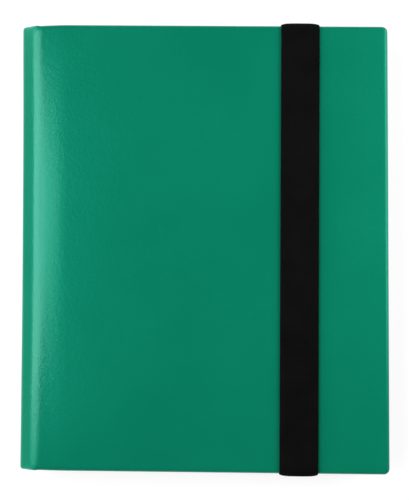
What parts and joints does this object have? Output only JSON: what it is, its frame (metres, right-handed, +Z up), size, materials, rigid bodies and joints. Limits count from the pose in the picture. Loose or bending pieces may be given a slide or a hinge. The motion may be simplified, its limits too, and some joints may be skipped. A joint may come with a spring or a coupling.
{
  "type": "stamp album",
  "caption": "Closed stamp album with padded leatherette covers, rounded spine, card leaves with clear strips that turn on linen guards, and a wide elastic strap round the front.",
  "frame": {"origin": "middle of the back cover's outer face, on which the closed album lies", "axes": "+X from the spine to the fore-edge, +Y from the foot to the head, +Z up through the front cover"},
  "size_m": [0.188, 0.2314, 0.0257],
  "materials": {
    "green_leatherette": "satin",
    "foam_padding": "matte",
    "grey_board": "matte",
    "endpaper": "matte",
    "black_elastic": "matte",
    "spine_cloth": "matte",
    "stub_card": "matte",
    "linen": "matte",
    "band_cloth": "matte",
    "black_card": "matte",
    "clear_film": "gloss",
    "glassine": "satin"
  },
  "bodies": {
    "back_cover": {"back_cover_skin": "green_leatherette", "back_padding": "foam_padding", "back_board": "grey_board", "back_endpaper": "endpaper", "strap_tail_head": "black_elastic", "strap_tail_foot": "black_elastic"},
    "spine": {"spine_skin": "green_leatherette", "spine_board": "grey_board", "spine_lining": "spine_cloth", "binding_stubs": "stub_card", "guard_tabs": "linen", "head_band": "band_cloth", "tail_band": "band_cloth", "front_fold": "green_leatherette", "back_fold": "green_leatherette"},
    "front_cover": {"front_cover_skin": "green_leatherette", "front_padding": "foam_padding", "front_board": "grey_board", "front_endpaper": "endpaper"},
    "strap": {"elastic_strap": "black_elastic"},
    "leaf_1": {"leaf_1_card": "black_card", "leaf_1_strips": "clear_film", "leaf_1_guard": "linen", "leaf_1_interleaf": "glassine"},
    "leaf_2": {"leaf_2_card": "black_card", "leaf_2_strips": "clear_film", "leaf_2_guard": "linen", "leaf_2_interleaf": "glassine"},
    "leaf_3": {"leaf_3_card": "black_card", "leaf_3_strips": "clear_film", "leaf_3_guard": "linen", "leaf_3_interleaf": "glassine"},
    "leaf_4": {"leaf_4_card": "black_card", "leaf_4_strips": "clear_film", "leaf_4_guard": "linen", "leaf_4_interleaf": "glassine"},
    "leaf_5": {"leaf_5_card": "black_card", "leaf_5_strips": "clear_film", "leaf_5_guard": "linen", "leaf_5_interleaf": "glassine"},
    "leaf_6": {"leaf_6_card": "black_card", "leaf_6_strips": "clear_film", "leaf_6_guard": "linen", "leaf_6_interleaf": "glassine"},
    "leaf_7": {"leaf_7_card": "black_card", "leaf_7_strips": "clear_film", "leaf_7_guard": "linen", "leaf_7_interleaf": "glassine"},
    "leaf_8": {"leaf_8_card": "black_card", "leaf_8_strips": "clear_film", "leaf_8_guard": "linen", "leaf_8_interleaf": "glassine"}
  },
  "joints": [
    {"name": "spine_hinge", "type": "hinge", "parent": "back_cover", "child": "spine", "pos_m": [-0.09158, 0, 0.00242], "axis": [0, -1, 0], "range_deg": [0, 90], "deforming": ["back_fold"]},
    {"name": "front_cover_hinge", "type": "hinge", "parent": "spine", "child": "front_cover", "pos_m": [-0.09158, 0, 0.02158], "axis": [0, -1, 0], "range_deg": [0, 90], "deforming": ["front_fold"]},
    {"name": "strap_pull_off", "type": "hinge", "parent": "back_cover", "child": "strap", "pos_m": [0.065, 0, -0.006], "axis": [0, 1, 0], "range_deg": [0, 90], "deforming": ["elastic_strap"]},
    {"name": "leaf_1_turn", "type": "hinge", "parent": "spine", "child": "leaf_1", "pos_m": [-0.0839, 0, 0.00605], "axis": [0, -1, 0], "range_deg": [-82, 0]},
    {"name": "leaf_2_turn", "type": "hinge", "parent": "spine", "child": "leaf_2", "pos_m": [-0.0839, 0, 0.00775], "axis": [0, -1, 0], "range_deg": [-74, 0]},
    {"name": "leaf_3_turn", "type": "hinge", "parent": "spine", "child": "leaf_3", "pos_m": [-0.0839, 0, 0.00945], "axis": [0, -1, 0], "range_deg": [-66, 0]},
    {"name": "leaf_4_turn", "type": "hinge", "parent": "spine", "child": "leaf_4", "pos_m": [-0.0839, 0, 0.01115], "axis": [0, -1, 0], "range_deg": [-58, 0]},
    {"name": "leaf_5_turn", "type": "hinge", "parent": "spine", "child": "leaf_5", "pos_m": [-0.0839, 0, 0.01285], "axis": [0, -1, 0], "range_deg": [0, 58]},
    {"name": "leaf_6_turn", "type": "hinge", "parent": "spine", "child": "leaf_6", "pos_m": [-0.0839, 0, 0.01455], "axis": [0, -1, 0], "range_deg": [0, 66]},
    {"name": "leaf_7_turn", "type": "hinge", "parent": "spine", "child": "leaf_7", "pos_m": [-0.0839, 0, 0.01625], "axis": [0, -1, 0], "range_deg": [0, 74]},
    {"name": "leaf_8_turn", "type": "hinge", "parent": "spine", "child": "leaf_8", "pos_m": [-0.0839, 0, 0.01795], "axis": [0, -1, 0], "range_deg": [0, 82]}
  ],
  "couplings": [
    {"joint": "front_cover_hinge", "follows": "spine_hinge", "ratio": 1},
    {"joint": "strap_pull_off", "follows": "spine_hinge", "ratio": 1},
    {"joint": "leaf_1_turn", "follows": "spine_hinge", "ratio": -0.91111},
    {"joint": "leaf_2_turn", "follows": "spine_hinge", "ratio": -0.82222},
    {"joint": "leaf_3_turn", "follows": "spine_hinge", "ratio": -0.73333},
    {"joint": "leaf_4_turn", "follows": "spine_hinge", "ratio": -0.64444},
    {"joint": "leaf_5_turn", "follows": "spine_hinge", "ratio": 0.64444},
    {"joint": "leaf_6_turn", "follows": "spine_hinge", "ratio": 0.73333},
    {"joint": "leaf_7_turn", "follows": "spine_hinge", "ratio": 0.82222},
    {"joint": "leaf_8_turn", "follows": "spine_hinge", "ratio": 0.91111}
  ]
}
